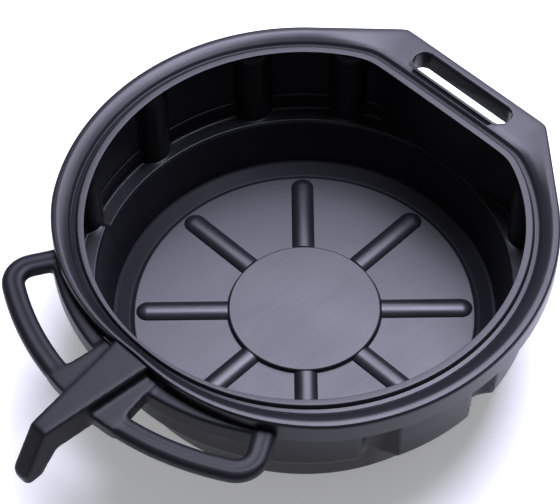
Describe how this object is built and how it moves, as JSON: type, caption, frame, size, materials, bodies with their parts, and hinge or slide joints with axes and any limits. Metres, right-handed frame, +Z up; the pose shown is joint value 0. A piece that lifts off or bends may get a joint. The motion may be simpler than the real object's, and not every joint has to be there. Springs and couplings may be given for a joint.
{
  "type": "oil_drain_pan",
  "caption": "Round black plastic oil drain pan with a splash lip, ribbed floor, flat rear edge with a slotted grip, loop handles and a hollow, bent pouring spout between them",
  "frame": {"origin": "the pan's axis at the plane that the foot ring stands on", "axes": "+Z up along the pan's axis; -Y towards the pouring spout, +Y towards the slotted rear grip; +X to the right seen from the spout's rear"},
  "size_m": [0.441, 0.5555, 0.147],
  "materials": {
    "shell": "satin",
    "floor": "satin, finely scuffed"
  },
  "bodies": {
    "root": {"foot_ring": "floor", "floor_plate": "floor", "floor_hub": "floor", "spoke_1": "floor", "spoke_2": "floor", "spoke_3": "floor", "spoke_4": "floor", "spoke_5": "floor", "spoke_6": "floor", "spoke_7": "floor", "spoke_8": "floor", "drum_wall": "shell", "ledge_ring": "shell", "front_ledge": "shell", "wall_front": "shell", "wall_right_1": "shell", "wall_right_2": "shell", "wall_right_3": "shell", "wall_right_4": "shell", "wall_left_1": "shell", "wall_left_2": "shell", "wall_left_3": "shell", "wall_left_4": "shell", "wall_flat": "shell", "flute_right_1": "shell", "flute_right_2": "shell", "flute_right_3": "shell", "flute_right_4": "shell", "flute_left_1": "shell", "flute_left_2": "shell", "flute_left_3": "shell", "flute_left_4": "shell", "splash_lip": "shell", "rim_groove": "shell", "bead_right": "shell", "bead_left": "shell", "front_ridge": "shell", "shelf_right": "shell", "shelf_left": "shell", "grip_plate": "shell", "slot_wall": "shell", "handle_right": "shell", "handle_left": "shell", "spout_roof": "shell", "spout_side_right": "shell", "spout_side_left": "shell", "spout_belly": "shell"}
  },
  "joints": []
}
